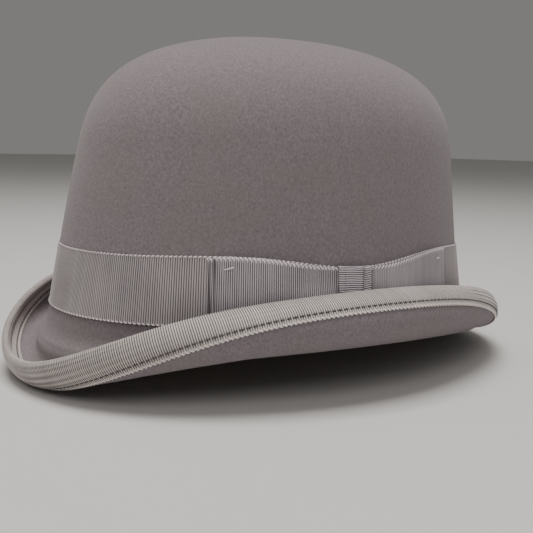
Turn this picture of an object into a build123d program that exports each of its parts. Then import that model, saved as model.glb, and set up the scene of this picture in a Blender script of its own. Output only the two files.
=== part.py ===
from build123d import *

import os
from math import atan2, cos, exp, hypot, pi, radians, sin

# Bowler hat. Millimetres, +Z up, the front of the hat faces -Y, the wearer's left is +X.
# Angles run round the hat in radians: 0 at the wearer's left, pi/2 at the back, -pi/2 at the front.
# Heights are measured from the level where crown and brim meet on average, until the last
# step puts the origin under the middle of the hat, on the table.

# Crown, measured on the outer face of the felt
HALF_LENGTH = 103.3
HALF_WIDTH = 85.5
CROWN_HEIGHT = 140.0
CROWN_FULLNESS = 7.0
SHOULDER_FULLNESS = 2.205
NARROWING = 0.039
LEAN = (-4.6, 11.0)
TOP_TILT = -4.2
FLARE = (6.6, -4.2, -0.8, 0.0)
FLARE_HEIGHT = 83.3
FLARE_BEND = 1.27
FELT = 2.6

# Brim: a fillet out of the crown, a flat, a curl and a short straight lip.
# Each size is a mean, a swing between sides and ends, a swing to the back,
# and a swing between the four main directions and the diagonals.
FOOT_RADIUS = (5.9, -3.0, 0.0, 0.0)
FOOT_RISE = (0.0, 2.9, -2.3, -0.8)
SLOPE = (-0.8, 25.8, 8.7, -3.6)
FLAT = (10.9, -4.3, -1.4, 2.4)
CURL_RADIUS = (7.2, 0.9, 0.0, 0.0)
CURL_TURN = (134.0, 23.0, -11.5, -7.9)
LIP = (3.3, 0.4, -0.2, 0.0)

# Ribbons
RIBBON = 0.6
EASE = 0.1
BAND_FOOT = (10.6, 1.6, -4.0, 0.0)
BAND_TOP = (41.9, 2.8, -1.6, 0.3)
BAND_DIP = 8.0
BAND_DIP_ANGLE = radians(-5)
BAND_DIP_SPREAD = radians(22)
BINDING_WIDTH = 11.4
BINDING_EASE = 0.2
STITCH_INSET = 2.0
STITCH_PITCH = 2.8
STITCH_LENGTH = 1.8
STITCH_RADIUS = 0.22

# Bow
KNOT_ANGLE = radians(-7.1)
KNOT_SPREAD = radians(4.6)
KNOT_DEPTH = 2.8
LOOP_DEPTH = 2.7
LOOP_SPREAD = radians(30.7)
LOOP_DROP = 1.0
PINCH = 5.0
BOW_GAP = 0.15

# Sweatband and lining
LEATHER = 0.9
SWEATBAND_HEIGHT = 54.0
SWEATBAND_GAP = 1.0
REED_RADIUS = 1.2
TAPE = 0.3
TAPE_GAP = 0.2
LINING = 0.4
LINING_GAP = 0.3
LINING_FOOT = 24.0
TIP_LEVEL = radians(34)
PIPING_RADIUS = 0.8

LOW_LIFT = radians(14)
RING_POINTS = 48


# Shape of the hat

def swing(size, angle):
    mean, sides, back, main_ways = size
    return mean + sides * cos(2 * angle) + back * sin(angle) + main_ways * cos(4 * angle)


def outline(angle, out):
    """A point out from the crown's foot oval, square to it."""
    across, along = cos(angle) / HALF_WIDTH, sin(angle) / HALF_LENGTH
    scale = out / hypot(across, along)
    return HALF_WIDTH * cos(angle) + across * scale, HALF_LENGTH * sin(angle) + along * scale


def flare(angle, height):
    """How far the wall of the crown spreads out towards its foot."""
    return swing(FLARE, angle) * max(1 - height / FLARE_HEIGHT, 0.0) ** FLARE_BEND


def crown_point(angle, height, out=0.0):
    """A point at a height on the crown, moved out from the felt's outer face."""
    level = min(max(height / (CROWN_HEIGHT + out), 0.0), 1.0)
    size = (1 - level**CROWN_FULLNESS) ** (1 / SHOULDER_FULLNESS) * (1 - NARROWING * level)
    x, y = outline(angle, out + flare(angle, height))
    tilt = TOP_TILT * level**2 * size * y / HALF_LENGTH
    return Vector(size * x, size * y + LEAN[0] * level + LEAN[1] * level**2, height + tilt)


def dome_height(lift, out):
    """Height on the crown for a lift of 0 at the foot to pi/2 at the top."""
    return (CROWN_HEIGHT + out) * sin(lift) ** (2 / CROWN_FULLNESS)


def foot_height(angle):
    """Height where the crown's wall runs into the fillet of the brim."""
    return FOOT_RADIUS[0] + swing(FOOT_RISE, angle)


def brim_point(angle, reach, under=0.0):
    """A point on the brim, moved down through the felt from its top face.

    Reach runs through the fillet (0 to 1), the flat (to 2), the curl (to 3) and the lip (to 4).
    The crown's flare dies away over the end of the fillet and the flat.
    """
    foot = swing(FOOT_RADIUS, angle)
    slope = radians(swing(SLOPE, angle))
    flat = swing(FLAT, angle)
    curl = swing(CURL_RADIUS, angle)
    turn = radians(swing(CURL_TURN, angle))
    lip = swing(LIP, angle)
    fillet_part, flat_part, curl_part, lip_part = (min(max(reach - start, 0), 1) for start in range(4))
    start = -pi / 2 + fillet_part * (pi / 2 + slope)
    heading = start + curl_part * turn
    out = foot + foot * sin(start)
    height = foot_height(angle) - foot * cos(start)
    out += flat_part * flat * cos(slope) + curl * (sin(heading) - sin(start))
    height += flat_part * flat * sin(slope) - curl * (cos(heading) - cos(start))
    fade = min(max((reach - 0.8) / 1.2, 0.0), 1.0)
    out += flare(angle, height) * (1 - fade**2 * (3 - 2 * fade))
    out += lip_part * lip * cos(heading) + under * sin(heading)
    height += lip_part * lip * sin(heading) - under * cos(heading)
    x, y = outline(angle, out)
    return Vector(x, y, height)


def hem_point(angle, back, under):
    """A point on the brim at a distance back from its edge."""
    lip = swing(LIP, angle)
    if back <= lip:
        return brim_point(angle, 4 - back / lip, under)
    curl_length = swing(CURL_RADIUS, angle) * radians(swing(CURL_TURN, angle))
    return brim_point(angle, 3 - (back - lip) / curl_length, under)


def rim_point(angle, turn, radius):
    """A point on the half-round of the brim's edge, turn -pi/2 on top to pi/2 beneath."""
    centre = brim_point(angle, 4, FELT / 2)
    along = (centre - brim_point(angle, 3.5, FELT / 2)).normalized()
    beneath = (brim_point(angle, 4, FELT) - centre).normalized()
    return centre + (along * cos(turn) + beneath * sin(turn)) * radius


# Solids built from rings

def ring(point):
    """A closed smooth loop through point(angle)."""
    points = [point(2 * pi * step / RING_POINTS) for step in range(RING_POINTS)]
    even = [step / RING_POINTS for step in range(RING_POINTS + 1)]
    return Wire([Edge.make_spline(points, periodic=True, parameters=even)])


def skin(rings):
    """The faces that run smoothly through a row of rings."""
    return list(Shell.make_loft(rings).faces())


def wall(first, last):
    """The narrow straight face between two rings."""
    return list(Shell.make_loft([first, last], ruled=True).faces())


def sleeve(outer, inner):
    """A closed band: an outer and an inner row of rings, joined at both ends."""
    faces = skin(outer) + skin(inner) + wall(outer[0], inner[0]) + wall(outer[-1], inner[-1])
    return Solid(Shell(faces))


def steps(first, last, count):
    return [first + (last - first) * step / (count - 1) for step in range(count)]


def dome_rings(low, high, count, out):
    """Rings from lift low to lift high on the crown."""
    return [
        ring(lambda angle: crown_point(angle, dome_height(lift, out), out))
        for lift in steps(low, high, count)
    ]


def crown_rings(out):
    """Rings down one felt face of the crown, from its top to its foot."""
    low = dome_height(LOW_LIFT, out)
    wall_part = [
        ring(lambda angle: crown_point(angle, share * low + (1 - share) * foot_height(angle), out))
        for share in (0.85, 0.7, 0.55, 0.4, 0.25, 0.12, 0.0)
    ]
    return dome_rings(radians(88.5), LOW_LIFT, 12, out) + wall_part


def brim_rings(first, under):
    """Rings out over one felt face of the brim, from its first ring at the crown's foot to the lip."""
    reaches = steps(0.2, 2.0, 10) + steps(2.15, 2.9, 6) + [3.0, 3.5]
    return [first] + [ring(lambda angle: brim_point(angle, reach, under)) for reach in reaches]


def felt_body():
    outer = crown_rings(0.0)
    inner = crown_rings(-FELT)
    top = brim_rings(outer[-1], 0.0)
    beneath = brim_rings(inner[-1], FELT)
    edge = [ring(lambda angle: rim_point(angle, turn, FELT / 2)) for turn in steps(-pi / 2, pi / 2, 5)]
    skins = [outer, inner, edge]
    for face, last in ((top, edge[0]), (beneath, edge[-1])):
        skins += [face[:6], face[5:11], face[10:] + [last]]
    faces = [face for rings in skins for face in skin(rings)]
    return Solid(Shell(faces + [Face(outer[0]), Face(inner[0])]))


def band_foot(angle):
    return swing(BAND_FOOT, angle)


def band_top(angle):
    """The ribbon's top edge, drawn down where the bow's knot holds it."""
    turn = atan2(sin(angle - BAND_DIP_ANGLE), cos(angle - BAND_DIP_ANGLE))
    return swing(BAND_TOP, angle) - BAND_DIP * exp(-((turn / BAND_DIP_SPREAD) ** 2))


def wall_rings(foot, top, out, count):
    """Rings up the crown's wall between two heights given at each angle."""
    return [
        ring(lambda angle: crown_point(angle, foot(angle) + share * (top(angle) - foot(angle)), out))
        for share in steps(0, 1, count)
    ]


def hat_band():
    outer = wall_rings(band_foot, band_top, EASE + RIBBON, 6)
    inner = wall_rings(band_foot, band_top, EASE, 6)
    return sleeve(outer, inner)


def brim_binding():
    faces = []
    ends = []
    for lay in (BINDING_EASE, BINDING_EASE + RIBBON):
        radius = FELT / 2 + lay
        backs = steps(BINDING_WIDTH, 1.0, 9)
        rings = [ring(lambda angle: hem_point(angle, back, -lay)) for back in backs]
        rings += [ring(lambda angle: rim_point(angle, turn, radius)) for turn in steps(-pi / 2, pi / 2, 5)]
        rings += [ring(lambda angle: hem_point(angle, back, FELT + lay)) for back in reversed(backs)]
        faces += skin(rings)
        ends.append((rings[0], rings[-1]))
    for inner, outer in zip(*ends):
        faces += wall(inner, outer)
    return Solid(Shell(faces))


def thread(first, last):
    """A straight piece of sewing thread between two points."""
    return Plane(origin=first, z_dir=last - first) * Cylinder(
        STITCH_RADIUS, (last - first).length, align=(Align.CENTER, Align.CENTER, Align.MIN)
    )


def stitch_row(point, pitch, length):
    """Separate stitches at an even pitch along the closed line point(angle)."""
    fine = [point(2 * pi * step / 720) for step in range(721)]
    travel = [0.0]
    for first, last in zip(fine, fine[1:]):
        travel.append(travel[-1] + (last - first).length)
    count = round(travel[-1] / pitch)
    stitches = []
    step = 0
    for number in range(count):
        wanted = travel[-1] * (number + 0.5) / count
        while travel[step + 1] < wanted:
            step += 1
        stretch = travel[step + 1] - travel[step]
        angle = 2 * pi * (step + (wanted - travel[step]) / stretch) / 720
        spread = length / 2 * 2 * pi / 720 / stretch
        stitches.append(thread(point(angle - spread), point(angle + spread)))
    return Compound(children=stitches)


def binding_stitches(under):
    return stitch_row(
        lambda angle: hem_point(angle, BINDING_WIDTH - STITCH_INSET, under), STITCH_PITCH, STITCH_LENGTH
    )


def binding_stitches_outer():
    return binding_stitches(FELT + BINDING_EASE + RIBBON + EASE + STITCH_RADIUS)


def binding_stitches_inner():
    return binding_stitches(-(BINDING_EASE + RIBBON + EASE + STITCH_RADIUS))


# Bow

def bow_section(angle, low, high, depth):
    """An upright slice of the bow, standing on the band's face."""
    face = EASE + RIBBON + BOW_GAP
    foot = crown_point(angle, low, face)
    outward = crown_point(angle, low, face + 1) - foot
    outward = Vector(outward.X, outward.Y, 0).normalized()
    backs = [crown_point(angle, height, face) for height in steps(low, high, 4)]
    backs = [foot + outward * (back - foot).dot(outward) + Vector(0, 0, back.Z - foot.Z) for back in backs]
    fronts = [back + outward * depth for back in backs]
    return Wire.make_polygon(backs + fronts[::-1], close=True)


def bow_loop(side):
    """One loop, from the knot to its fold; side is -1 for the front loop and 1 for the rear."""
    sections = []
    for share in steps(0, 1, 6):
        angle = KNOT_ANGLE + side * (KNOT_SPREAD * 1.02 + share * (LOOP_SPREAD - KNOT_SPREAD * 0.02))
        low = band_foot(angle) + LOOP_DROP + PINCH * (1 - share) ** 2
        high = band_top(angle) - 0.3
        depth = LOOP_DEPTH * (0.55 + 0.45 * sin(pi * share))
        sections.append(bow_section(angle, low, high, depth))
    return Solid.make_loft(sections)


def bow_front_loop():
    return bow_loop(-1)


def bow_rear_loop():
    return bow_loop(1)


def bow_knot():
    sections = []
    for turn in steps(-1, 1, 5):
        angle = KNOT_ANGLE + turn * KNOT_SPREAD
        low = band_foot(angle) + PINCH
        high = band_top(angle) + 0.4
        sections.append(bow_section(angle, low, high, KNOT_DEPTH - 0.5 * turn**2))
    return Solid.make_loft(sections)


def bow_stitch(distance, height, length, rise):
    """A thread on the bow's face at a distance behind the knot's middle, level or slanting."""
    angle = KNOT_ANGLE + distance / HALF_LENGTH
    turn = length / 2 / HALF_LENGTH
    face = EASE + RIBBON + BOW_GAP + LOOP_DEPTH + STITCH_RADIUS
    first = crown_point(angle - turn, height - rise / 2, face)
    return thread(first, crown_point(angle + turn, height + rise / 2, face))


def bow_tack_stitches():
    """The level stitch, the zigzag at the front loop's foot and the dot on the rear loop."""
    reach = (KNOT_SPREAD + LOOP_SPREAD) * HALF_LENGTH
    level = [bow_stitch(-reach + 5.8, 36.5, 5.4, 0.6)]
    zigzag = [bow_stitch(-reach + 1.2 + step * 1.2, 14, 1.0, 1.4 * (-1) ** step) for step in range(4)]
    dot = [bow_stitch(reach - 2.8, 38, 1.0, 0.4)]
    return Compound(children=level + zigzag + dot)


# Inside the crown

def inside_rings(out, low, high, count):
    """Rings up the inside of the wall, from low to high above the crown's foot."""
    def above_foot(rise):
        return lambda angle: foot_height(angle) + rise

    return wall_rings(above_foot(low), above_foot(high), out, count)


def sweatband():
    face = -FELT - SWEATBAND_GAP
    outer = inside_rings(face, 0.0, SWEATBAND_HEIGHT, 8)
    inner = inside_rings(face - LEATHER, 0.0, SWEATBAND_HEIGHT, 8)
    return sleeve(outer, inner)


def reed_line(angle):
    out = -FELT - SWEATBAND_GAP - LEATHER / 2
    return crown_point(angle, foot_height(angle), out) - Vector(0, 0, REED_RADIUS + EASE)


def cord(line, radius):
    """A round cord along the closed line line(angle), in an outer and an inner half."""
    def around(turn):
        return ring(lambda angle: line(angle) + radius * cord_side(angle, turn))

    outer = [around(turn) for turn in steps(-pi / 2, pi / 2, 5)]
    inner = [outer[-1]] + [around(turn) for turn in steps(pi / 2, 3 * pi / 2, 5)[1:-1]] + [outer[0]]
    return Solid(Shell(skin(outer) + skin(inner)))


def cord_side(angle, turn):
    """The direction round a cord's middle, turn 0 pointing out and pi/2 up."""
    x, y = outline(angle, 1)
    middle_x, middle_y = outline(angle, 0)
    return Vector((x - middle_x) * cos(turn), (y - middle_y) * cos(turn), sin(turn))


def sweatband_reed():
    return cord(reed_line, REED_RADIUS)


def reed_tape():
    face = -FELT - TAPE_GAP
    outer = inside_rings(face, 0.2, 10.2, 5)
    inner = inside_rings(face - TAPE, 0.2, 10.2, 5)
    return sleeve(outer, inner)


def sweatband_stitches():
    out = -FELT - SWEATBAND_GAP - LEATHER - EASE - STITCH_RADIUS
    return stitch_row(lambda angle: crown_point(angle, foot_height(angle) + 2.5, out), 4.0, 2.4)


def sweatband_bow():
    """A small flat bow over the sweatband's joint at the back."""
    out = -FELT - SWEATBAND_GAP - LEATHER - 0.1
    spot = crown_point(pi / 2, foot_height(pi / 2) + 6, out)
    loops = Polygon((-9, -3.2), (0, -1.4), (9, -3.2), (9, 3.2), (0, 1.4), (-9, 3.2), align=None)
    knot = Pos(0, 0, 0.4) * Box(4, 4.4, 1.6)
    return Plane(origin=spot - Vector(0, 1.2, 0), x_dir=(1, 0, 0), z_dir=(0, -1, 0)) * (
        extrude(loops, 0.8) + knot
    )


def lining_side_rings(out):
    low = [ring(lambda angle: crown_point(angle, height, out)) for height in (LINING_FOOT, 40, 53, 66, 79)]
    return low + dome_rings(LOW_LIFT, TIP_LEVEL, 6, out)


def lining_side():
    out = -FELT - LINING_GAP
    return sleeve(lining_side_rings(out), lining_side_rings(out - LINING))


def lining_tip():
    out = -FELT - LINING_GAP
    start = TIP_LEVEL + radians(0.6)
    outer = dome_rings(start, radians(88.5), 8, out)
    inner = dome_rings(start, radians(88.5), 8, out - LINING)
    tops = [Face(outer[-1]), Face(inner[-1])]
    return Solid(Shell(skin(outer) + skin(inner) + wall(outer[0], inner[0]) + tops))


def lining_piping():
    out = -FELT - LINING_GAP - LINING - PIPING_RADIUS - EASE
    return cord(lambda angle: crown_point(angle, dome_height(TIP_LEVEL, out), out), PIPING_RADIUS)


def main():
    builders = [
        felt_body, hat_band, bow_front_loop, bow_rear_loop, bow_knot, bow_tack_stitches,
        brim_binding, binding_stitches_outer, binding_stitches_inner,
        sweatband, sweatband_reed, reed_tape, sweatband_stitches, sweatband_bow,
        lining_side, lining_tip, lining_piping,
    ]
    parts = {build.__name__: build() for build in builders}
    box = Compound(list(parts.values())).bounding_box()
    centre = box.center()
    to_origin = Pos(-centre.X, -centre.Y, -box.min.Z)
    os.makedirs("parts", exist_ok=True)
    for name, part in parts.items():
        export_step(to_origin * part, f"parts/{name}.step")


main()
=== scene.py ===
from math import cos, pi, radians, sin

import bmesh
import bpy
import numpy as np
from mathutils import Matrix, Vector


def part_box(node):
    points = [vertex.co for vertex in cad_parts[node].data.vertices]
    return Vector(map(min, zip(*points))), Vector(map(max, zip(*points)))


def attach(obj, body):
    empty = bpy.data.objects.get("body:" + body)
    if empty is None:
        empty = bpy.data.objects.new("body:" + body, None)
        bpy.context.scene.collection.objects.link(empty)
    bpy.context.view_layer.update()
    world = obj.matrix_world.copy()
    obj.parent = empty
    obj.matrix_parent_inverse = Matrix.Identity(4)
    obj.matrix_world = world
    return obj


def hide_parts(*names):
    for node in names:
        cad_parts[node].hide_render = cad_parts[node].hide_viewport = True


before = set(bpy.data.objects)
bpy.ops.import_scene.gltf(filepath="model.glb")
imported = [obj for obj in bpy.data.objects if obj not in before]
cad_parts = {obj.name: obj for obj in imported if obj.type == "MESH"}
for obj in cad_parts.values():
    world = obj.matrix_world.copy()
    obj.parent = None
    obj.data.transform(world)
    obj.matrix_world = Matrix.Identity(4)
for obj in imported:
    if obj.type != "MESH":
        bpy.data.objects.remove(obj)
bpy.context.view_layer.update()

# Bowler hat. Shapes are worked out in millimetres with the same sizes as the CAD model,
# measured from the level where crown and brim meet, and moved into the frame at the end.
# Angles run round the hat: 0 at the wearer's left, pi/2 at the back, -pi/2 at the front.
# A size given as four numbers changes round the hat, see swing().

HALF_LENGTH = 103.3
HALF_WIDTH = 85.5
CROWN_HEIGHT = 140.0
CROWN_FULLNESS = 7.0
SHOULDER_FULLNESS = 2.205
NARROWING = 0.039
LEAN = (-4.6, 11.0)
TOP_TILT = -4.2
FLARE = (6.6, -4.2, -0.8, 0.0)
FLARE_HEIGHT = 83.3
FLARE_BEND = 1.27
FLARE_FADE = (0.8, 1.2)
DOME_START = radians(13)
FELT = 2.6

FOOT_RADIUS = (5.9, -3.0, 0.0, 0.0)
FOOT_RISE = (0.0, 2.9, -2.3, -0.8)
SLOPE = (-0.8, 25.8, 8.7, -3.6)
FLAT = (10.9, -4.3, -1.4, 2.4)
CURL_RADIUS = (7.2, 0.9, 0.0, 0.0)
CURL_TURN = (134.0, 23.0, -11.5, -7.9)
LIP = (3.3, 0.4, -0.2, 0.0)

RIBBON = 0.6
RIBBON_SINK = 0.05
RIBBON_BACK = RIBBON - 0.15
EASE = 0.1
BAND_FOOT = (10.6, 1.6, -4.0, 0.0)
BAND_TOP = (41.9, 2.8, -1.6, 0.3)
BAND_DIP = 8.0
BAND_DIP_ANGLE = radians(-5)
BAND_DIP_SPREAD = radians(22)
BINDING_WIDTH = 11.4
BINDING_EASE = 0.2
STITCH_INSET = 2.0
STITCH_PITCH = 2.8
STITCH_LENGTH = 2.1
STITCH_RADIUS = 0.24
STITCH_DIP = 0.5

KNOT_ANGLE = radians(-7.1)
KNOT_SPREAD = radians(4.6)
LOOP_SPREAD = radians(30.7)
LOOP_START = 6.0
LOOP_DROP = 1.0
PINCH = 5.0
KNOT_RISE = 0.4
KNOT_FLATNESS = 0.78

LEATHER = 0.9
SWEATBAND_HEIGHT = 54.0
SWEATBAND_GAP = 1.0
REED_RADIUS = 1.2
REED_STITCH_PITCH = 4.0
REED_STITCH_LENGTH = 2.8
REED_STITCH_RADIUS = 0.22
REED_STITCH_RISE = 2.5
TAPE = 0.3
TAPE_GAP = 0.2
LINING = 0.4
LINING_GAP = 0.3
LINING_FOOT = 24.0
TIP_LEVEL = radians(34)
PIPING_RADIUS = 0.8

RIB = 1.04
BOW_RIB = 0.91
KNOT_RIB = 0.95
BINDING_RIB = 0.99
RIB_STEPS = 4
RNG = np.random.default_rng(7)

CAMERA_AZIMUTH = radians(55.75)
CAMERA_ELEVATION = radians(3.78)
CAMERA_ROLL = radians(1.08)
CAMERA_DISTANCE = 439.1
CAMERA_DIP = 0.0784
CAMERA_CENTRE = (0, 0, 60)
FOCAL_PIXELS = 843.5
PHOTO_PIXELS = 533
SENSOR = 36

# Name, place and size in metres, power in watts, colour
LAMPS = (
    ("ceiling", (0.0, -0.1, 1.5), 0.8, 24, (1.0, 0.97, 0.93)),
    ("side", (1.1, -0.8, 1.2), 0.9, 7, (1.0, 0.97, 0.94)),
    ("fill", (1.5, 0.6, 0.5), 1.2, 1.2, (0.93, 0.96, 1.0)),
)
LAMP_AIM = (0, 0, 0.07)
SKY = (0.80, 0.78, 0.75, 1)
SKY_STRENGTH = 0.26
FLOOR_HALF = 6
FLOOR_LEVEL = -0.0003


# Shape of the hat, for whole arrays of angles at once

def swing(size, angle):
    """A size that differs round the hat: its mean, and what the sides, the back and all four ways add."""
    mean, sides, back, main_ways = size
    return mean + sides * np.cos(2 * angle) + back * np.sin(angle) + main_ways * np.cos(4 * angle)


def outline(angle, out):
    """A point out from the crown's foot oval, square to it."""
    across, along = np.cos(angle) / HALF_WIDTH, np.sin(angle) / HALF_LENGTH
    scale = out / np.hypot(across, along)
    return HALF_WIDTH * np.cos(angle) + across * scale, HALF_LENGTH * np.sin(angle) + along * scale


def points(x, y, z):
    """Coordinates of any matching shapes as one array of points."""
    return np.stack(np.broadcast_arrays(x, y, z), -1).astype(float)


def unit(vectors):
    return vectors / np.maximum(np.linalg.norm(vectors, axis=-1, keepdims=True), 1e-9)


def flare(angle, height):
    """How far the wall of the crown spreads out towards its foot."""
    return swing(FLARE, angle) * np.maximum(1 - height / FLARE_HEIGHT, 0) ** FLARE_BEND


def crown_point(angle, height, out):
    """A point at a height above the crown's foot, so far out from the crown's surface."""
    level = np.clip(height / (CROWN_HEIGHT + out), 0, 1)
    size = (1 - level**CROWN_FULLNESS) ** (1 / SHOULDER_FULLNESS) * (1 - NARROWING * level)
    x, y = outline(angle, out + flare(angle, height))
    tilt = TOP_TILT * level**2 * size * y / HALF_LENGTH
    return points(size * x, size * y + LEAN[0] * level + LEAN[1] * level**2, height + tilt)


def dome_height(lift, out):
    """Heights that space rows evenly over the crown's round top, lift 0 at the foot to pi/2 at the top."""
    return (CROWN_HEIGHT + out) * np.sin(lift) ** (2 / CROWN_FULLNESS)


def foot_height(angle):
    """Where the crown's wall ends and the fillet into the brim starts."""
    return FOOT_RADIUS[0] + swing(FOOT_RISE, angle)


def brim_point(angle, reach, under=0.0):
    """Reach runs through the fillet (0 to 1), the flat (to 2), the curl (to 3) and the lip (to 4)."""
    angle, reach = np.broadcast_arrays(np.asarray(angle, float), np.asarray(reach, float))
    foot = swing(FOOT_RADIUS, angle)
    slope = np.radians(swing(SLOPE, angle))
    flat = swing(FLAT, angle)
    curl = swing(CURL_RADIUS, angle)
    turn = np.radians(swing(CURL_TURN, angle))
    lip = swing(LIP, angle)
    fillet_part, flat_part, curl_part, lip_part = (np.clip(reach - start, 0, 1) for start in range(4))
    start = -pi / 2 + fillet_part * (pi / 2 + slope)
    heading = start + curl_part * turn
    out = foot + foot * np.sin(start)
    height = foot_height(angle) - foot * np.cos(start)
    out = out + flat_part * flat * np.cos(slope) + curl * (np.sin(heading) - np.sin(start))
    height = height + flat_part * flat * np.sin(slope) - curl * (np.cos(heading) - np.cos(start))
    fade = np.clip((reach - FLARE_FADE[0]) / FLARE_FADE[1], 0, 1)
    out = out + flare(angle, height) * (1 - fade**2 * (3 - 2 * fade))
    out = out + lip_part * lip * np.cos(heading) + under * np.sin(heading)
    height = height + lip_part * lip * np.sin(heading) - under * np.cos(heading)
    x, y = outline(angle, out)
    return points(x, y, height)


def hem_point(angle, back, under):
    """A point on the brim at a distance back from its edge."""
    lip = swing(LIP, angle)
    curl_length = swing(CURL_RADIUS, angle) * np.radians(swing(CURL_TURN, angle))
    reach = np.where(back <= lip, 4 - back / lip, 3 - (back - lip) / curl_length)
    return brim_point(angle, reach, under)


def rim_point(angle, turn, radius):
    """A point on the half-round of the brim's edge, turn -pi/2 on top to pi/2 beneath."""
    centre = brim_point(angle, 4.0, FELT / 2)
    along = unit(centre - brim_point(angle, 3.5, FELT / 2))
    beneath = unit(brim_point(angle, 4.0, FELT) - centre)
    turn = np.asarray(turn)[..., None]
    return centre + (along * np.cos(turn) + beneath * np.sin(turn)) * radius


def band_foot(angle):
    return swing(BAND_FOOT, angle)


def band_top(angle):
    turn = np.arctan2(np.sin(angle - BAND_DIP_ANGLE), np.cos(angle - BAND_DIP_ANGLE))
    return swing(BAND_TOP, angle) - BAND_DIP * np.exp(-((turn / BAND_DIP_SPREAD) ** 2))


def angles(count):
    return np.arange(count) * 2 * pi / count


def travel(rows):
    """Distance along a row of points, counted from its first."""
    step = np.linalg.norm(np.diff(rows, axis=0), axis=-1)
    return np.concatenate([[0.0], np.cumsum(step)])


def even_angles(curve, count):
    """Angles that divide the closed line curve(angle) into even steps, and its length."""
    fine = np.linspace(0, 2 * pi, 4001)
    way = travel(curve(fine))
    return np.interp(np.arange(count) / count * way[-1], way, fine), way[-1]


def normals(grid, closed_columns):
    """Unit normals of a grid of points, from its neighbours."""
    down = np.gradient(grid, axis=0)
    across = np.gradient(grid, axis=1)
    if closed_columns:
        across = (np.roll(grid, -1, 1) - np.roll(grid, 1, 1)) / 2
    return unit(np.cross(across, down))


def noise_row(count, smooth):
    """Smooth random values from -1 to 1 round a closed row."""
    values = RNG.normal(size=count)
    reach = np.minimum(np.arange(count), count - np.arange(count))
    kernel = np.exp(-((reach / smooth) ** 2))
    values = np.real(np.fft.ifft(np.fft.fft(values) * np.fft.fft(kernel)))
    return values / np.abs(values).max()


def rib_wave(phase):
    """1 on a rib's crest, 0 in the groove between ribs."""
    return 0.5 + 0.5 * np.cos(2 * pi * phase)


def hill(value, middle, width):
    """A smooth bump of height 1."""
    return np.exp(-(((value - middle) / width) ** 2))


def marks(shape, tone=1.0, rib=0.0, ribbed=0.0):
    """For each point: how light it is painted, with its painted light and shade, its place counted in ribs,
    and how strongly the ribs show.
    """
    return np.stack([np.broadcast_to(value, shape) for value in (tone, rib, ribbed)], -1).astype(float)


def frame_shift():
    """The move from these millimetres into the frame, where the CAD's felt body lies."""
    low, high = (np.array(corner) * 1000 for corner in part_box("felt_body"))
    around = angles(720)
    rows = [brim_point(around, reach, under) for under in (FELT, 0.0) for reach in np.linspace(2, 4, 61)]
    rows += [rim_point(around, turn, FELT / 2) for turn in np.linspace(-pi / 2, pi / 2, 9)]
    cloud = np.concatenate(rows)
    across = (low + high) / 2 - (cloud.min(0) + cloud.max(0)) / 2
    return np.array([across[0], across[1], low[2] - cloud[:, 2].min()])


SHIFT = frame_shift()


# Meshes

def grid_faces(rows, columns, closed_rows=False, closed_columns=False):
    row = np.arange(rows if closed_rows else rows - 1)
    column = np.arange(columns if closed_columns else columns - 1)
    a = row[:, None] * columns + column[None, :]
    b = row[:, None] * columns + (column[None, :] + 1) % columns
    c = ((row[:, None] + 1) % rows) * columns + (column[None, :] + 1) % columns
    d = ((row[:, None] + 1) % rows) * columns + column[None, :]
    return np.stack([a, b, c, d], -1).reshape(-1, 4).tolist()


def piece(name, vertices, faces, node, mark=None):
    """A mesh object that stands for a CAD node, its faces all turned outwards."""
    mesh = bpy.data.meshes.new(name)
    mesh.from_pydata(((vertices + SHIFT) * 0.001).tolist(), [], faces)
    turned = bmesh.new()
    turned.from_mesh(mesh)
    bmesh.ops.recalc_face_normals(turned, faces=turned.faces)
    turned.to_mesh(mesh)
    turned.free()
    mesh.polygons.foreach_set("use_smooth", [True] * len(mesh.polygons))
    layer = mesh.attributes.new("weave", "FLOAT_VECTOR", "POINT")
    layer.data.foreach_set("vector", np.ravel(marks((len(vertices),)) if mark is None else mark))
    mesh.update()
    thing = bpy.data.objects.new(name, mesh)
    bpy.context.scene.collection.objects.link(thing)
    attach(thing, "root")
    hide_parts(node)
    return thing


def pole(count, first, middle):
    """Triangles from one row of a grid to a middle point."""
    return [[first + step, middle, first + (step + 1) % count] for step in range(count)]


def capped(grid):
    """A grid closed round its columns, with a middle point at its first and last row."""
    rows, columns = grid.shape[:2]
    total = rows * columns
    vertices = np.concatenate([grid.reshape(-1, 3), grid[0].mean(0)[None], grid[-1].mean(0)[None]])
    faces = grid_faces(rows, columns, closed_columns=True)
    faces += [triangle[::-1] for triangle in pole(columns, 0, total)]
    faces += pole(columns, total - columns, total + 1)
    return vertices, faces


def join(parts):
    """Several (vertices, faces, marks) as one."""
    vertices, faces, mark = [], [], []
    start = 0
    for part_vertices, part_faces, part_marks in parts:
        flat = part_vertices.reshape(-1, 3)
        vertices.append(flat)
        faces += [[index + start for index in face] for face in part_faces]
        mark.append(part_marks.reshape(-1, 3))
        start += len(flat)
    return np.concatenate(vertices), faces, np.concatenate(mark)


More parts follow.
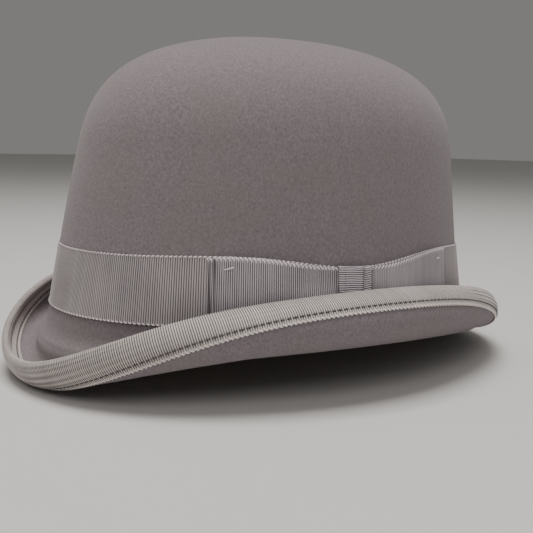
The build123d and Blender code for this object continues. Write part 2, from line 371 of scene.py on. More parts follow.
def thread(path, radius, twist, sides=8):
    """A thread along a row of points, its ends rounded, with the plies of its twist."""
    path = np.asarray(path, float)
    along = unit(np.gradient(path, axis=0))
    aside = np.cross(along, [0.0, 0.0, 1.0])
    aside[np.linalg.norm(aside, axis=1) < 0.1] = [1.0, 0.0, 0.0]
    aside = unit(aside)
    above = np.cross(aside, along)
    share = np.linspace(0, 1, len(path))
    width = radius * np.sqrt(np.clip(1 - (2 * share - 1) ** 6, 0.02, 1))
    turn = angles(sides)
    plies = 1 + 0.18 * np.cos(2 * turn[None, :] + twist * travel(path)[:, None])
    ring = (width[:, None] * plies)[..., None]
    grid = path[:, None] + ring * (
        np.cos(turn)[None, :, None] * aside[:, None] + np.sin(turn)[None, :, None] * above[:, None]
    )
    faces = grid_faces(len(path), sides, closed_columns=True)
    faces += [list(range(sides))[::-1], [(len(path) - 1) * sides + step for step in range(sides)]]
    return grid, faces, marks(grid.shape[:-1])


# Felt

def felt_body():
    around = angles(288)
    dome_lift = np.linspace(radians(89.2), DOME_START, 46)
    wall_share = np.linspace(0.95, 0, 14)
    reach = np.concatenate([
        np.linspace(0.1, 1, 8), np.linspace(1.1, 2, 8), np.linspace(2.04, 3, 24), np.linspace(3.25, 4, 4)
    ])

    def face(out):
        low = dome_height(DOME_START, out)
        rows = [crown_point(around, dome_height(lift, out), out) for lift in dome_lift]
        rows += [
            crown_point(around, share * low + (1 - share) * foot_height(around), out) for share in wall_share
        ]
        return rows + [brim_point(around, part, -out) for part in reach]

    edge = [rim_point(around, turn, FELT / 2) for turn in np.linspace(-pi / 2, pi / 2, 9)[1:-1]]
    outer, inner = face(0.0), face(-FELT)
    grid = np.stack(outer + edge + inner[::-1])
    vertices, faces = capped(grid + normals(grid, True) * felt_waves(grid)[..., None])
    return piece("felt_hood", vertices, faces, "felt_body")


def felt_waves(grid):
    """The felt's slow unevenness, a few tenths of a millimetre."""
    x, y, z = grid[..., 0], grid[..., 1], grid[..., 2]
    wave = 0.10 * np.sin(x / 17 + 1.3 * np.sin(y / 29)) * np.sin(z / 21 + 0.7)
    wave += 0.07 * np.sin(y / 11 + z / 9 + 2.0) * np.sin(x / 13 - z / 15)
    wave += 0.05 * np.sin(x / 6.1 + y / 7.3) * np.sin(z / 5.7 + y / 9.1)
    return wave


# Ribbons

def woven(grid, phase, closed_columns, thick, depth=0.2, edge_width=1.1, back_step=1, picot=0.45):
    """Ribs a ribbon sheet of points (rows across its width) and gives it a back.

    phase counts ribs along the ribbon. Along each edge the weft turns in a row of small loops.
    """
    rows, columns = grid.shape[:2]
    face = normals(grid, closed_columns)
    across = np.cumsum(np.linalg.norm(np.diff(grid, axis=0, prepend=grid[:1]), axis=-1), 0)
    down = unit(np.gradient(grid, axis=0))
    lift = -depth * (1 - rib_wave(phase))
    tone = np.ones((rows, columns))
    ribbed = np.ones((rows, columns))
    shaped = grid.copy()
    for sign, inset in ((-1, across), (1, across[-1] - across)):
        near = np.clip(1 - inset / edge_width, 0, 1)
        loop = rib_wave(phase / 2 + inset / 1.6)
        ease = np.minimum(near * 3, 1)
        lift = lift * (1 - ease) + ease * (0.34 * loop - 0.12)
        # Painted light and shade: the edge loops are painted lighter on their crests and darker between them
        tone = tone * (1 - ease) + ease * (0.4 + 1.6 * loop)
        ribbed = ribbed * (1 - ease)
        shaped += down * (sign * picot * near**2 * (loop - 0.4))[..., None]
    front = shaped + face * lift[..., None]
    kept = np.unique(np.append(np.arange(0, rows, back_step), rows - 1))
    back = (shaped - face * thick)[kept][::-1]
    sheet = np.concatenate([front, back])
    faces = grid_faces(len(sheet), columns, closed_rows=True, closed_columns=closed_columns)
    if not closed_columns:
        last = columns - 1
        for row in range(rows - 1):
            other = 2 * rows - 1 - row
            faces.append([row * columns, (row + 1) * columns, (other - 1) * columns, other * columns])
            faces.append([
                row * columns + last, other * columns + last, (other - 1) * columns + last,
                (row + 1) * columns + last,
            ])
    # The ribbon's back is painted darker, as painted shade
    mark = np.concatenate([marks((rows, columns), tone, phase, ribbed), marks(back.shape[:2], 0.8)])
    return sheet, faces, mark


def hat_band():
    def middle(angle):
        return crown_point(angle, (band_foot(angle) + band_top(angle)) / 2, EASE + RIBBON)

    length = even_angles(middle, 1)[1]
    count = 2 * round(length / RIB / 2) * RIB_STEPS
    around, _ = even_angles(middle, count)
    share = np.concatenate([
        [0, 0.008, 0.016, 0.026], np.linspace(0.05, 0.95, 8), [0.974, 0.984, 0.992, 1]
    ])
    low, high = band_foot(around), band_top(around)
    height = low + share[:, None] * (high - low)
    slack = 0.12 * noise_row(count, 120) + 0.06 * noise_row(count, 40)
    grid = crown_point(around[None], height, EASE + RIBBON - RIBBON_SINK)
    grid = grid - normals(grid, True) * (slack[None] * np.sin(pi * share)[:, None])[..., None]
    phase = np.broadcast_to(np.arange(count) / RIB_STEPS, height.shape)
    sheet, faces, mark = woven(
        grid, phase, True, edge_width=0.7, thick=RIBBON_BACK, back_step=3, picot=0.15
    )
    thing = piece("band_ribbon", sheet.reshape(-1, 3), faces, "hat_band", mark)
    return thing


def brim_binding():
    def edge(angle):
        return rim_point(angle, 0.0, FELT / 2 + BINDING_EASE + RIBBON)

    length = even_angles(edge, 1)[1]
    count = 2 * round(length / BINDING_RIB / 2) * RIB_STEPS
    around, _ = even_angles(edge, count)
    radius = FELT / 2 + BINDING_EASE + RIBBON - RIBBON_SINK
    outer = BINDING_WIDTH - np.array([0, 0.35, 0.7, 1.05, 1.5, 1.85, 2.2, 2.8, 4.4, 6.4, 8.6, 10.6])
    inner = BINDING_WIDTH - np.array([0, 0.5, 1.0, 1.6, 2.1, 2.8, 5.2, 8.0, 10.6])
    beneath = [hem_point(around, back, FELT / 2 + radius) for back in outer]
    round_part = [rim_point(around, turn, radius) for turn in np.linspace(pi / 2, -pi / 2, 5)[1:-1]]
    top = [hem_point(around, back, -(radius - FELT / 2)) for back in inner[::-1]]
    grid = np.stack(beneath + round_part + top)
    line = len(beneath) + 1
    # Ribs cross the ribbon square to its edge, so their count drifts from row to row
    along = unit(np.roll(grid, -1, 1) - np.roll(grid, 1, 1))
    drift = np.zeros(grid.shape[:2])
    for row in range(line + 1, len(grid)):
        drift[row] = drift[row - 1] + ((grid[row] - grid[row - 1]) * along[row]).sum(-1)
    for row in range(line - 1, -1, -1):
        drift[row] = drift[row + 1] + ((grid[row] - grid[row + 1]) * along[row]).sum(-1)
    phase = np.arange(count)[None] / RIB_STEPS + drift / BINDING_RIB
    # The stitches pull the ribbon in along the rows beneath them
    groove = np.zeros(len(grid))
    groove[5] = groove[-5] = 1
    groove[[4, 6]] = groove[[-4, -6]] = 0.3
    grid = grid - normals(grid, True) * (0.25 * groove)[:, None, None]
    sheet, faces, mark = woven(grid, phase, True, edge_width=1.2, thick=RIBBON_BACK, back_step=4)
    # Painted shade in the rows that the stitches pull in
    mark[: len(grid), :, 0] *= (1 - 0.35 * groove)[:, None]
    # The four rows of the inner edge are painted darker: painted shade, where they lie in the curl's shade
    mark[len(grid) - 4 : len(grid), :, 0] *= 0.62
    thing = piece("binding_ribbon", sheet.reshape(-1, 3), faces, "brim_binding", mark)
    return thing


def stitch_row(name, node, point, pitch, length, radius, sink):
    """Stitches along the closed line point(angle), each dipping into the cloth at both ends."""
    total = even_angles(point, 1)[1]
    starts, _ = even_angles(point, round(total / pitch))
    parts = []
    share = np.linspace(-0.5, 0.5, 7)
    for start, following in zip(starts, np.append(starts[1:], 2 * pi)):
        step = (following - start) / pitch
        wobble, _ = RNG.normal(size=2) * 0.05
        spots = start + (0.5 * pitch + share * length * (1 + wobble)) * step
        path = point(spots)
        down = sink(spots) * ((2 * share) ** 4)[:, None]
        parts.append(thread(path + down, radius, sides=6, twist=5.0))
    vertices, faces, mark = join(parts)
    return piece(name, vertices, faces, node, mark)


def binding_stitches(name, node, under, into):
    def line(angle):
        return hem_point(angle, BINDING_WIDTH - STITCH_INSET, under)

    def sink(angle):
        return hem_point(angle, BINDING_WIDTH - STITCH_INSET, under + into) - line(angle)

    return stitch_row(
        name, node, line, STITCH_PITCH, STITCH_LENGTH, STITCH_RADIUS, sink
    )


# Bow

def loop_path(length, depth, fold):
    """The folded ribbon in plan: distance from the knot and distance off the band."""
    share = np.linspace(0, 1, 60)
    rise = np.minimum(share / 0.25, 1)
    swell = depth * (0.35 + 0.65 * np.sin(pi / 2 * rise) ** 1.2) - 0.35 * depth * share**3
    front = np.stack([share * (length - fold), np.maximum(swell, 2 * fold + 0.45)], 1)
    turn = np.linspace(pi / 2, -pi / 2, 15)[1:-1]
    centre = front[-1] - [0, fold]
    bend = centre + np.stack([np.cos(turn) * fold * 1.1, np.sin(turn) * fold], 1)
    back_share = np.linspace(1, 0, 40)
    back_end = centre[1] - fold
    back = np.stack([back_share * (length - fold), 0.4 + (back_end - 0.4) * back_share**2], 1)
    return np.concatenate([front, bend, back])


def strip(side, path, low_extra, high_extra, shade, swellings=(), slant=0.0):
    """A ribbed ribbon that follows a path in plan along the band, seen from above.

    shade(distance, share, front) gives its painted light and shade. Each swelling is a height, its distance
    along and spread, and its level and spread across. slant moves the ribbon's top end out along the band,
    and its bottom end in, by half that distance.
    """
    way = travel(np.column_stack([path, np.zeros(len(path))]))
    columns = round(way[-1] / BOW_RIB) * RIB_STEPS + 1
    wanted = np.linspace(0, way[-1], columns)
    distance = np.interp(wanted, way, path[:, 0])
    off = np.interp(wanted, way, path[:, 1])
    share = np.concatenate([
        [0, 0.01, 0.02, 0.032], np.linspace(0.07, 0.93, 12), [0.968, 0.98, 0.99, 1]
    ])
    leaning = slant * (share[:, None] - 0.5) * (distance / path[:, 0].max()) ** 2
    angle = KNOT_ANGLE + side * (distance + leaning + LOOP_START) / HALF_LENGTH
    low = band_foot(angle) + LOOP_DROP + low_extra(distance)
    high = band_top(angle) - 0.3 + high_extra(distance)
    height = low + share[:, None] * (high - low)
    front = wanted < way[-1] * 0.5
    puff = sum(
        size * hill(distance, where, wide) * hill(share[:, None], level, tall)
        for size, where, wide, level, tall in swellings
    )
    grid = crown_point(angle, height, EASE + RIBBON + off + puff * front)
    phase = np.broadcast_to(np.arange(columns) / RIB_STEPS, height.shape)
    dim = np.broadcast_to(shade(distance, share[:, None], front), height.shape)
    if side > 0:
        grid, phase, dim = grid[:, ::-1], phase[:, ::-1], dim[:, ::-1]
    sheet, faces, mark = woven(grid[::-1], phase, False, thick=0.38, depth=0.17)
    mark[: len(grid), :, 0] *= dim[::-1]
    return sheet, faces, mark


def fold_shade(light, depth, middle, width):
    """The painted light and shade of a layer: so light, and painted dark in the fold beneath the one above
    it.
    """
    return lambda distance, *_: light - depth * hill(distance, middle, width)


def bow_loop(name, node, side):
    """A loop of the bow: side -1 the front one, which ends in two more layers, side 1 the rear one."""
    length = LOOP_SPREAD * HALF_LENGTH + 2.2
    if side < 0:
        length -= 1.5
        swellings = [
            (0.9, 14, 9, 0.35, 0.25), (-0.5, 6, 5, 0.8, 0.3),
            (0.3, 34, 12, 0.6, 0.5), (-0.45, 24, 7, 0.1, 0.2),
        ]
    else:
        swellings = [(0.5, 18, 12, 0.45, 0.3), (-0.4, 5, 5, 0.3, 0.4)]

    def low_extra(distance):
        return PINCH * np.clip(1 - distance / 48, 0, 1) ** 2

    def shade(distance, share, front):
        # Painted shade where the loop tucks under the knot, and at its fold end
        tone = 1 - 0.65 * hill(distance, 1.6, 1.6) - 0.25 * hill(distance, length, 0.5)
        # A painted highlight on the front loop's swelling
        tone = tone + 0.16 * hill(distance, 15, 10) * hill(share, 0.3, 0.22) * (side < 0)
        # The front loop is painted lighter and the rear loop darker, as lit and shaded copies
        tone = tone * (0.95 if side > 0 else 1.2)
        # The loop's back layer is painted dark, as painted shade beneath its front layer
        return np.where(front, tone, 0.7)

    def high_extra(distance):
        return -0.25 * np.sin(distance / 9)

    path = loop_path(length, 2.5, 0.7)
    parts = [strip(side, path, low_extra, high_extra, shade, swellings)]
    if side < 0:
        pleat = np.array([
            [length - 16, 0.55], [length - 2, 1.0], [length + 1.2, 1.25],
            [length + 2.0, 1.1], [length + 2.2, 0.75], [length + 1.8, 0.45],
        ])
        dark = fold_shade(1.15, 0.75, length - 0.2, 0.75)
        parts.append(strip(side, pleat, lambda distance: 0.5, lambda distance: -0.3, dark, slant=1.6))
        under = np.array([
            [length - 14, 0.05], [length + 2.8, 0.08], [length + 3.8, 0.35], [length + 4.1, 0.05]
        ])
        dark = fold_shade(1.05, 0.7, length + 2.3, 0.6)
        parts.append(strip(side, under, lambda distance: 0.6, lambda distance: -0.5, dark))
    sheet, faces, mark = join(parts)
    if side > 0:
        # The rear loop lies in shade: its ribs are painted fainter and bump less
        mark[..., 2] *= 0.45
    thing = piece(name, sheet, faces, node, mark)
    return thing


def bow_knot():
    """The wrap: its ribs run level, and its end laps over itself at the back edge."""
    low, high = band_foot(KNOT_ANGLE) + PINCH, band_top(KNOT_ANGLE) + KNOT_RISE
    rows = round((high - low) / KNOT_RIB) * RIB_STEPS + 1
    half = KNOT_SPREAD * HALF_LENGTH
    plan = np.array([
        (-half, 0.1), (-half - 0.12, 1.0), (-half - 0.05, 1.9), (-half + 0.4, 2.7), (-half + 1.3, 3.15),
        (-half + 3, 3.45), (-1, 3.65), (half * 0.40, 3.5), (half * 0.44, 3.55), (half * 0.48, 3.9),
        (half * 0.54, 4.0), (half * 0.8, 3.7), (half - 0.5, 3.25), (half - 0.05, 2.7),
        (half + 0.05, 1.9), (half, 1.0), (half - 0.1, 0.1),
    ])
    way = travel(np.column_stack([plan, np.zeros(len(plan))]))
    fine = np.unique(np.concatenate([np.linspace(0, way[-1], 70), way]))
    distance = np.interp(fine, way, plan[:, 0])
    off = np.interp(fine, way, plan[:, 1]) * KNOT_FLATNESS
    angle = KNOT_ANGLE + distance / HALF_LENGTH
    share = np.linspace(0, 1, rows)[:, None]
    low, high = band_foot(angle) + PINCH, band_top(angle) + KNOT_RISE
    height = low + share * (high - low)
    corner = 1 - 0.22 * hill(share, 0, 0.03) - 0.22 * hill(share, 1, 0.03)
    out = EASE + RIBBON + off * corner - 0.25 * np.sin(pi * share) * (off > 2.0)
    grid = crown_point(angle[None], height, out)
    lapped = 1 / (1 + np.exp(-(distance - half * 0.47) / 0.12))
    phase = np.arange(rows)[:, None] / RIB_STEPS + 0.5 * lapped + 0.12 * np.sin(distance / 1.7)
    face = normals(grid, False)
    step = hill(distance, half * 0.44, 0.35)
    end = hill(distance, half - 0.35, 0.3) * (off > 2.0)
    lift = -0.3 * (1 - rib_wave(phase)) + 0.2 * end * rib_wave(phase * 0.5)
    # Painted light and shade: the knot is painted lighter overall, with painted shade at the lapped step and
    # at its sides near the band, and a painted highlight on the raised end
    tone = 1.6 * (1 - 0.5 * step) * (1 + 0.3 * end) * np.clip(0.15 + 0.85 * off / 2.0, 0, 1)
    front = grid + face * (lift * np.clip(off / 1.5, 0, 1))[..., None]
    back = crown_point(angle[None], height, EASE + RIBBON + 0.05)
    sheet = np.concatenate([front[::-1], back])
    faces = grid_faces(2 * rows, len(fine), closed_rows=True)
    # The knot's back is painted darker, as painted shade
    mark = np.concatenate([marks(phase.shape, tone, phase[::-1], 1.0), marks(phase.shape, 0.7)])
    return piece("knot_ribbon", sheet.reshape(-1, 3), faces, "bow_knot", mark)


def bow_tack_stitches():
    """Two threads of the level stitch, three of the zigzag and the dot at the rear loop."""
    reach = (KNOT_SPREAD + LOOP_SPREAD) * HALF_LENGTH
    level, foot = -reach + 7.4, -reach + 0.6
    # Start and radius, then each stop's distance from the start, its height and its distance off the band
    runs = [
        (level, 0.25, ((-2.2, 37.4, 2.2), (-1.9, 37.5, 2.75), (-0.6, 37.8, 2.9), (-0.2, 37.9, 2.4))),
        (level, 0.38, ((-0.3, 37.8, 2.4), (0.1, 38.0, 3.0), (1.5, 38.4, 3.1), (1.8, 38.4, 2.4))),
        (foot, 0.34, ((-1.6, 13.6, 0.5), (-0.8, 14.2, 1.6), (0.6, 13.4, 2.5), (0.9, 13.3, 2.2))),
        (foot, 0.32, ((0.6, 13.3, 2.2), (1.4, 14.4, 2.7), (2.6, 13.7, 2.75), (3.0, 13.6, 2.3))),
        (foot, 0.3, ((2.4, 13.6, 2.3), (3.2, 14.6, 2.9), (4.6, 15.0, 2.95), (4.9, 15.0, 2.4))),
        (reach, 0.36, ((-9.6, 37.0, 1.9), (-9.3, 37.5, 2.85), (-8.8, 37.7, 2.75), (-8.5, 37.7, 1.9))),
    ]
    parts = []
    for start, radius, stops in runs:
        distance, height, off = np.array(stops).T
        corner = crown_point(KNOT_ANGLE + (start + distance) / HALF_LENGTH, height, EASE + RIBBON + off)
        way = travel(corner)
        fine = np.linspace(0, way[-1], 14)
        path = np.stack([np.interp(fine, way, corner[:, axis]) for axis in range(3)], 1)
        parts.append(thread(path, radius, twist=4.0))
    vertices, faces, mark = join(parts)
    return piece("tack_threads", vertices, faces, "bow_tack_stitches", mark)


# Inside the crown

def sleeve(low, high, out, thick, rows, count, wave=None):
    """The two faces of a band inside the wall, between two heights above the fillet's start."""
    around = angles(count)
    share = np.linspace(0, 1, rows)[:, None]
    height = foot_height(around) + low + share * (high - low)
    shift = 0 if wave is None else wave(around[None], share)
    face = crown_point(around[None], height, out - thick + shift)
    rear = crown_point(around[None], height, out + shift)
    return face, rear


def inner_sheet(face, rear):
    """A closed ring from the points of its two faces."""
    grid = np.concatenate([face, rear[::-1]])
    return grid.reshape(-1, 3), grid_faces(len(grid), grid.shape[1], closed_rows=True, closed_columns=True)


def sweatband():
    def wave(angle, share):
        return -0.25 * share**2 * (1 + np.sin(3 * angle + 0.5)) + 0.08 * np.sin(7 * angle + 1) * share

    face, rear = sleeve(0.0, SWEATBAND_HEIGHT, -FELT - SWEATBAND_GAP, LEATHER, 30, 360, wave)
    vertices, faces = inner_sheet(face, rear)
    thing = piece("leather_band", vertices, faces, "sweatband")
    return thing


def reed_line(angle):
    out = -FELT - SWEATBAND_GAP - LEATHER / 2
    return crown_point(angle, foot_height(angle), out) - np.array([0, 0, REED_RADIUS + EASE])


def cord_ring(line, radius, count, twist):
    """A cord along the closed line line(angle), with so many turns of its twist per millimetre."""
    around, length = even_angles(line, count)
    turns = round(length * twist)
    x, y = outline(around, 1)
    middle_x, middle_y = outline(around, 0)
    outward = points(x - middle_x, y - middle_y, 0)
    side = angles(12)
    phase = side[:, None] + turns * angles(count)[None]
    size = radius * (0.93 + 0.07 * np.cos(2 * phase))
    ring = size[..., None] * (
        np.cos(side)[:, None, None] * outward[None] + np.sin(side)[:, None, None] * np.array([0, 0, 1.0])
    )
    grid = line(around)[None] + ring
    return grid.reshape(-1, 3), grid_faces(len(side), count, closed_rows=True, closed_columns=True)


def sweatband_reed():
    vertices, faces = cord_ring(reed_line, REED_RADIUS, 900, 0.12)
    return piece("reed_cord", vertices, faces, "sweatband_reed")


def reed_tape():
    face, rear = sleeve(0.2, 10.2, -FELT - TAPE_GAP, TAPE, 8, 300)
    vertices, faces = inner_sheet(face, rear)
    thing = piece("woven_tape", vertices, faces, "reed_tape")
    return thing


def sweatband_stitches():
    out = -FELT - SWEATBAND_GAP - LEATHER - EASE - REED_STITCH_RADIUS

    def line(angle):
        return crown_point(angle, foot_height(angle) + REED_STITCH_RISE, out)

    def sink(angle):
        return crown_point(angle, foot_height(angle) + REED_STITCH_RISE, out + STITCH_DIP) - line(angle)

    return stitch_row(
        "leather_threads", "sweatband_stitches", line, REED_STITCH_PITCH, REED_STITCH_LENGTH,
        REED_STITCH_RADIUS, sink,
    )


def sweatband_bow():
    """A small flat ribbon bow at the back, facing into the hat."""
    out = -FELT - SWEATBAND_GAP - LEATHER - 0.1
    spot = crown_point(np.array(pi / 2), np.array(foot_height(pi / 2) + 6), out) - np.array([0, 1.0, 0])
    length = np.linspace(0, 1, 22)
    across = np.linspace(-1, 1, 13)[:, None]
    half = 1.2 + 1.9 * np.sin(length * pi / 2) ** 0.8
    half = np.where(length > 0.96, half - 0.3, half)
    puff = 0.55 * np.sin(pi * length) ** 0.7
    fold = 0.16 * np.cos(across * 7) * (1 - length)
    parts = []
    for side in (-1, 1):
        x = side * (1.6 + length * 7.3)
        front = points(x, -(0.45 + puff * (1 - across**2) + fold), across * half)
        rear = points(x, -0.05, across * half)
        grid = np.concatenate([front, rear[::-1]]) if side > 0 else np.concatenate([front[::-1], rear])
        faces = grid_faces(len(grid), grid.shape[1], closed_rows=True)
        parts.append((grid + spot, faces, marks(grid.shape[:-1])))
    turn = angles(24)
    level = np.linspace(-2.1, 2.1, 12)[:, None]
    squeeze = 1 - 0.25 * np.abs(level / 2.1) ** 4
    knot = points(1.9 * np.cos(turn) * squeeze, -0.55 - 0.75 * np.sin(turn) * squeeze, level)
    knot_faces = grid_faces(12, 24, closed_columns=True) + [list(range(24))[::-1], list(range(264, 288))]
    parts.append((knot + spot, knot_faces, marks(knot.shape[:-1], 0.9)))
    vertices, faces, mark = join(parts)
    return piece("back_bow", vertices, faces, "sweatband_bow", mark)


def pleats(angle, share):
    """Gathers of the lining, deepest where it meets the tip."""
    folds = np.sin(angle * 60 + 1.5 * np.sin(angle * 9)) + 0.5 * np.sin(angle * 97 + 2)
    return folds * share**1.5


def lining_side():
    around = angles(1320)
    out = -FELT - LINING_GAP
    lifts = np.linspace(DOME_START, TIP_LEVEL, 28)
    low = np.linspace(LINING_FOOT, dome_height(lifts[0], out), 4)[:-1]
    heights = np.concatenate([low, dome_height(lifts, out)])
    share = np.linspace(0, 1, len(heights))
    face, rear = [], []
    for height, part in zip(heights, share):
        fold = 0.28 * pleats(around, part)
        face.append(crown_point(around, height, out - LINING - 0.1 + fold))
        rear.append(crown_point(around, height, out + np.minimum(fold, 0.1)))
    vertices, faces = inner_sheet(np.stack(face), np.stack(rear))
    thing = piece("side_lining", vertices, faces, "lining_side")
    return thing


def lining_tip():
    around = angles(240)
    out = -FELT - LINING_GAP
    lifts = np.linspace(TIP_LEVEL + radians(0.6), radians(89.3), 26)

    def rows(face_out):
        return np.stack([crown_point(around, dome_height(lift, face_out), face_out) for lift in lifts])

    inner, outer = rows(out - LINING), rows(out)
    inner[..., 2] -= 0.25 * (np.sin(inner[..., 0] / 9) * np.sin(inner[..., 1] / 12 + 1) + 1)
    vertices, faces = capped(np.concatenate([outer[::-1], inner]))
    thing = piece("tip_lining", vertices, faces, "lining_tip")
    return thing


def lining_piping():
    out = -FELT - LINING_GAP - LINING - PIPING_RADIUS - EASE

    def line(angle):
        return crown_point(angle, dome_height(TIP_LEVEL, out), out)

    vertices, faces = cord_ring(line, PIPING_RADIUS, 900, 0.25)
    return piece("piping_cord", vertices, faces, "lining_piping")


# Materials

class Shader:
    """A small helper that adds linked nodes to one material."""

    def __init__(self, name):
        self.material = bpy.data.materials.new(name)
        self.material.use_nodes = True
        self.tree = self.material.node_tree
        self.surface = self.tree.nodes["Principled BSDF"]

    def node(self, kind, **inputs):
        """A new node. set_x sets its property x; in0, in1 are inputs by number, the others by name."""
        made = self.tree.nodes.new(kind)
        for name, value in inputs.items():
            if name.startswith("set_"):
                setattr(made, name[4:], value)
                continue
            key = int(name[2:]) if name.startswith("in") and name[2:].isdigit() else name.replace("_", " ")
            self.put(made.inputs[key], value)
        return made

    def put(self, socket, value):
        if isinstance(value, bpy.types.NodeSocket):
            self.tree.links.new(value, socket)
        else:
            socket.default_value = value

    def place(self, scale, stretch=(1, 1, 1)):
        """Object coordinates in millimetres, times scale."""
        coordinates = self.node("ShaderNodeTexCoord").outputs["Object"]
        mapping = self.node("ShaderNodeMapping", Vector=coordinates)
        mapping.inputs["Scale"].default_value = [1000 * scale * part for part in stretch]
        return mapping.outputs[0]

    def noise(self, scale, detail=3.0, roughness=0.6, stretch=(1, 1, 1)):
        """Noise with features of about 1/scale millimetres, from 0 to 1."""
        made = self.node(
            "ShaderNodeTexNoise", Vector=self.place(scale, stretch), Scale=1.0, Detail=detail,
            Roughness=roughness,
        )
        return made.outputs["Fac"]

    def maths(self, operation, first, second=0.0, third=0.0):
        made = self.node("ShaderNodeMath", set_operation=operation, in0=first, in1=second, in2=third)
        return made.outputs[0]

    def spread(self, value, low, high):
        """Maps 0..1 to low..high."""
        return self.maths("MULTIPLY_ADD", value, high - low, low)

    def stretch(self, value, low, high):
        """Maps low..high to 0..1 and clamps."""
        made = self.node("ShaderNodeMapRange", Value=value)
        made.inputs["From Min"].default_value = low
        made.inputs["From Max"].default_value = high
        return made.outputs[0]

    def blend(self, factor, first, second, kind="MIX"):
        made = self.node("ShaderNodeMix", set_data_type="RGBA", set_blend_type=kind)
        self.put(made.inputs[0], factor)
        for socket, value in ((made.inputs[6], first), (made.inputs[7], second)):
            self.put(socket, value if isinstance(value, bpy.types.NodeSocket) else (*value, 1.0))
        return made.outputs[2]

    def scale_colour(self, colour, factor):
        grey = self.node("ShaderNodeCombineColor", in0=factor, in1=factor, in2=factor).outputs[0]
        return self.blend(1.0, colour, grey, "MULTIPLY")

    def weave(self):
        """The marks carried by each point: tone with its painted light and shade, place in ribs, strength of
        the ribs.
        """
        vector = self.node("ShaderNodeAttribute", set_attribute_name="weave").outputs["Vector"]
        return self.node("ShaderNodeSeparateXYZ", Vector=vector).outputs

    def bump(self, height, distance, strength):
        made = self.node("ShaderNodeBump", Height=height, Distance=distance * 0.001, Strength=strength)
        return made.outputs["Normal"]

    def finish(self, colour, roughness, normal=None, **others):
        self.put(self.surface.inputs["Base Color"], colour)
        self.put(self.surface.inputs["Roughness"], roughness)
        if normal is not None:
            self.put(self.surface.inputs["Normal"], normal)
        for name, value in others.items():
            self.put(self.surface.inputs[name.replace("_", " ")], value)
        return self.material


def linear(red, green, blue):
    """Screen colour, 0 to 255, to the linear colour that nodes take."""
    return tuple(
        part / 12.92 if part <= 0.04045 else ((part + 0.055) / 1.055) ** 2.4
        for part in (red / 255, green / 255, blue / 255)
    )


def felt_material():
    s = Shader("felt")
    mottle = s.stretch(s.noise(0.85, 4.0, 0.7), 0.3, 0.7)
    cloud = s.stretch(s.noise(0.035, 3.0, 0.55), 0.35, 0.65)
    fibres = s.stretch(s.noise(1.6, 2.0, 0.7, (1.0, 1.0, 0.35)), 0.35, 0.65)
    colour = s.blend(mottle, linear(108, 99, 104), linear(138, 128, 133))
    colour = s.blend(s.spread(cloud, 0.0, 0.35), colour, linear(122, 115, 112))
    colour = s.scale_colour(colour, s.spread(fibres, 0.93, 1.07))
    height = s.maths("ADD", s.spread(s.noise(1.3, 5.0, 0.75), 0.0, 1.0), s.spread(fibres, 0.0, 0.35))
    normal = s.bump(height, 0.3, 0.6)
    return s.finish(
        colour, 0.95, normal, Sheen_Weight=0.22, Sheen_Roughness=0.6, Sheen_Tint=(0.8, 0.77, 0.78, 1),
        Specular_IOR_Level=0.15,
    )


def ribbon_material(name, colour, light, groove):
    """Ribbed ribbon, with painted shade in the grooves between its ribs. groove is how light the bottom of
    the groove between two ribs is painted.
    """
    s = Shader(name)
    tone, place, ribbed = s.weave()
    wave = s.spread(s.maths("COSINE", s.maths("MULTIPLY", place, 2 * pi)), 0.5, 1.0)
    crest = s.maths("POWER", s.maths("MAXIMUM", wave, 0.0), 0.8)
    rib = s.maths("ROUND", place)
    uneven = s.node("ShaderNodeTexWhiteNoise", set_noise_dimensions="1D", W=rib).outputs["Value"]
    # Painted shade in the grooves between ribs, as strong as the ribbed mark says
    ribs = s.maths("SUBTRACT", 1.0, s.maths("MULTIPLY", ribbed, s.spread(crest, 1 - groove, 0.0)))
    cloud = s.stretch(s.noise(0.05, 2.0, 0.5), 0.35, 0.65)
    grain = s.noise(2.2, 2.0, 0.6, (1.0, 1.0, 2.4))
    base = s.blend(cloud, colour, light)
    light_part = s.maths("MULTIPLY", s.maths("MULTIPLY", tone, ribs), s.spread(grain, 0.86, 1.14))
    base = s.scale_colour(base, s.maths("MULTIPLY", light_part, s.spread(uneven, 0.93, 1.07)))
    normal = s.bump(s.maths("MULTIPLY_ADD", grain, 0.4, s.maths("MULTIPLY", crest, ribbed)), 0.16, 0.5)
    return s.finish(
        base, 0.62, normal, Sheen_Weight=0.2, Sheen_Roughness=0.4, Sheen_Tint=(0.85, 0.84, 0.9, 1),
        Specular_IOR_Level=0.3,
    )


def thread_material(name, colour):
    s = Shader(name)
    grain = s.noise(3.0, 2.0, 0.6)
    return s.finish(
        s.scale_colour(colour, s.spread(grain, 0.8, 1.15)), 0.7, s.bump(grain, 0.1, 0.5), Sheen_Weight=0.2
    )


def leather_material():
    s = Shader("leather")
    cells = s.node("ShaderNodeTexVoronoi", Vector=s.place(0.9), set_feature="DISTANCE_TO_EDGE", Scale=1.0)
    creases = s.stretch(cells.outputs["Distance"], 0.0, 0.18)
    cloud = s.stretch(s.noise(0.06, 4.0, 0.6), 0.3, 0.7)
    colour = s.blend(cloud, linear(106, 74, 50), linear(134, 96, 66))
    colour = s.scale_colour(colour, s.spread(creases, 0.82, 1.0))
    height = s.maths("ADD", s.spread(creases, 0.0, 1.0), s.spread(s.noise(2.5, 3.0, 0.6), 0.0, 0.4))
    return s.finish(colour, 0.5, s.bump(height, 0.15, 0.7), Specular_IOR_Level=0.4)


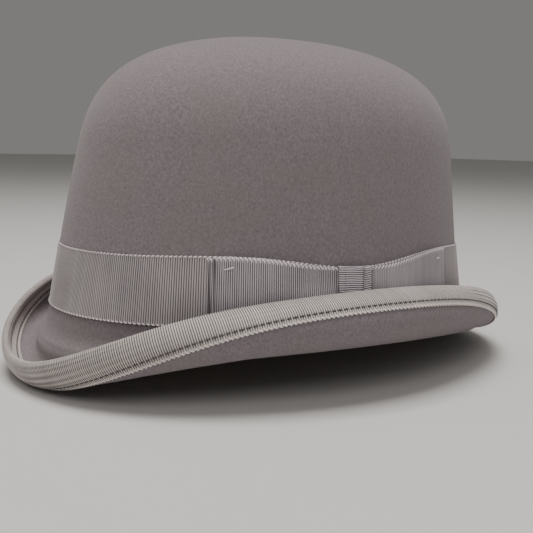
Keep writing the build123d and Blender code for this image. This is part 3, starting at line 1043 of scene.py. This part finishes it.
def lining_material():
    s = Shader("lining")
    weave = s.noise(3.5, 2.0, 0.6, (1.0, 1.0, 0.4))
    cloud = s.stretch(s.noise(0.05, 2.0, 0.5), 0.35, 0.65)
    colour = s.blend(cloud, linear(168, 162, 160), linear(186, 180, 176))
    colour = s.scale_colour(colour, s.spread(weave, 0.94, 1.05))
    return s.finish(
        colour, 0.38, s.bump(weave, 0.05, 0.4), Sheen_Weight=0.3, Sheen_Roughness=0.3, Specular_IOR_Level=0.5
    )


def tape_material():
    s = Shader("tape")
    weave = s.noise(2.2, 2.0, 0.6, (1.0, 1.0, 2.5))
    light = s.maths("MULTIPLY", s.weave()[0], s.spread(weave, 0.8, 1.2))
    colour = s.scale_colour(linear(84, 80, 80), light)
    return s.finish(colour, 0.7, s.bump(weave, 0.1, 0.6), Sheen_Weight=0.2)


def paint(thing, material):
    thing.data.materials.clear()
    thing.data.materials.append(material)


def floor_and_light():
    edge = FLOOR_HALF
    mesh = bpy.data.meshes.new("floor")
    mesh.from_pydata(
        [(-edge, -edge, 0), (edge, -edge, 0), (edge, edge, 0), (-edge, edge, 0)], [], [[0, 1, 2, 3]]
    )
    floor = bpy.data.objects.new("floor", mesh)
    bpy.context.scene.collection.objects.link(floor)
    floor.location.z = FLOOR_LEVEL
    s = Shader("floor_paint")
    s.finish(s.scale_colour((0.62, 0.61, 0.6), s.spread(s.noise(0.02), 0.98, 1.02)), 0.9)
    paint(floor, s.material)

    for name, place, size, power, colour in LAMPS:
        data = bpy.data.lights.new(name, "AREA")
        data.size, data.energy, data.color = size, power, colour
        lamp = bpy.data.objects.new(name, data)
        lamp.location = place
        lamp.rotation_euler = (Vector(LAMP_AIM) - Vector(place)).to_track_quat("-Z", "Y").to_euler()
        bpy.context.scene.collection.objects.link(lamp)
    world = bpy.data.worlds.new("studio")
    bpy.context.scene.world = world
    world.use_nodes = True
    sky = world.node_tree.nodes["Background"]
    sky.inputs["Color"].default_value = SKY
    sky.inputs["Strength"].default_value = SKY_STRENGTH


def camera():
    """The camera stands at the wearer's left front, low, with a slight downward turn and roll."""
    level = cos(CAMERA_ELEVATION)
    back = Vector((sin(CAMERA_AZIMUTH) * level, -cos(CAMERA_AZIMUTH) * level, sin(CAMERA_ELEVATION)))
    place = Vector(CAMERA_CENTRE) + back * CAMERA_DISTANCE
    ahead = -back
    aside = ahead.cross(Vector((0, 0, 1))).normalized()
    ahead = (ahead - aside.cross(ahead) * CAMERA_DIP).normalized()
    aside = ahead.cross(Vector((0, 0, 1))).normalized()
    above = aside.cross(ahead)
    right = aside * cos(CAMERA_ROLL) + above * sin(CAMERA_ROLL)
    up = -aside * sin(CAMERA_ROLL) + above * cos(CAMERA_ROLL)
    data = bpy.data.cameras.new("camera")
    data.sensor_width = SENSOR
    data.lens = FOCAL_PIXELS / PHOTO_PIXELS * SENSOR
    data.clip_start, data.clip_end = 0.02, 50
    made = bpy.data.objects.new("camera", data)
    turn = Matrix((right, up, -ahead)).transposed().to_4x4()
    made.matrix_world = Matrix.Translation((place + Vector(SHIFT)) * 0.001) @ turn
    bpy.context.scene.collection.objects.link(made)
    bpy.context.scene.camera = made


def main():
    felt = felt_material()
    band = ribbon_material("band_weave", linear(182, 173, 176), linear(194, 185, 187), 0.14)
    bow = ribbon_material("bow_weave", linear(176, 167, 173), linear(190, 181, 187), 0.06)
    binding = ribbon_material("binding_weave", linear(200, 191, 188), linear(212, 203, 199), 0.07)
    pale = thread_material("pale_thread", linear(214, 208, 202))
    dark = thread_material("dark_thread", linear(66, 60, 60))
    leather = leather_material()
    lining = lining_material()
    tape = tape_material()
    reed = thread_material("reed_cord", linear(160, 140, 112))

    paint(felt_body(), felt)
    paint(hat_band(), band)
    paint(bow_loop("front_loop_ribbon", "bow_front_loop", -1), bow)
    paint(bow_loop("rear_loop_ribbon", "bow_rear_loop", 1), bow)
    paint(bow_knot(), bow)
    paint(bow_tack_stitches(), pale)
    paint(brim_binding(), binding)
    lay = BINDING_EASE + RIBBON
    paint(binding_stitches("outer_threads", "binding_stitches_outer", FELT + lay, -STITCH_DIP), dark)
    paint(binding_stitches("inner_threads", "binding_stitches_inner", -lay, STITCH_DIP), dark)
    paint(sweatband(), leather)
    paint(sweatband_reed(), reed)
    paint(reed_tape(), tape)
    paint(sweatband_stitches(), pale)
    paint(sweatband_bow(), tape)
    paint(lining_side(), lining)
    paint(lining_tip(), lining)
    paint(lining_piping(), tape)
    floor_and_light()
    camera()


main()
